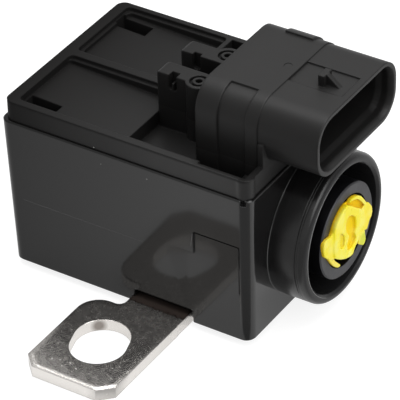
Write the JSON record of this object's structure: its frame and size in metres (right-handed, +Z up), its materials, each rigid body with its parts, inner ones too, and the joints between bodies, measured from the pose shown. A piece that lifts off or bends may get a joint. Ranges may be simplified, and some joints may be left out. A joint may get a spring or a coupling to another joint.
{
  "type": "pyrotechnic battery fuse",
  "caption": "One-shot battery main switch: a charge drives a punch through the bar between a side lug and a round front contact; flat header on top.",
  "frame": {"origin": "centre of the lug's slotted hole, on the lug's underside", "axes": "+X out of the round power contact and the header, -Y out along the lug, +Z up through the lid"},
  "size_m": [0.0541, 0.0558, 0.0431],
  "materials": {
    "housing": "satin black, moulded",
    "lid": "satin black, moulded",
    "lid_gasket": "matte",
    "lug_bar": "tinned, fine grain",
    "break_link": "tinned",
    "contact_bar": "tinned",
    "arc_cup": "matte, glass filled",
    "arrest_pad": "matte",
    "die_plate": "matte, glass filled",
    "guide_barrel": "matte, glass filled",
    "punch": "matte, glass filled",
    "piston_ring": "matte",
    "igniter_body": "turned",
    "charge_cup": "drawn",
    "charge": "pressed powder",
    "igniter_seal": "matte",
    "igniter_keeper": "turned",
    "igniter_pins": "plated",
    "header_leads": "tinned",
    "pin_carrier": "matte",
    "contact_barrel": "matte plated",
    "contact_seal": "matte",
    "touch_guard": "satin, moulded"
  },
  "bodies": {
    "fuse": {"housing": "housing", "lid": "lid", "lid_gasket": "lid_gasket", "lug_bar": "lug_bar", "contact_bar": "contact_bar", "arc_cup": "arc_cup", "arrest_pad": "arrest_pad", "die_plate": "die_plate", "guide_barrel": "guide_barrel", "igniter_body": "igniter_body", "charge_cup": "charge_cup", "charge": "charge", "igniter_seal": "igniter_seal", "igniter_keeper": "igniter_keeper", "igniter_pins": "igniter_pins", "header_leads": "header_leads", "pin_carrier": "pin_carrier", "contact_barrel": "contact_barrel", "contact_seal": "contact_seal", "touch_guard": "touch_guard"},
    "punch_group": {"punch": "punch", "piston_ring": "piston_ring", "break_link": "break_link"}
  },
  "joints": [
    {"name": "punch_stroke", "type": "slide", "parent": "fuse", "child": "punch_group", "axis": [0, 0, -1], "range_m": [0, 0.0045]}
  ]
}
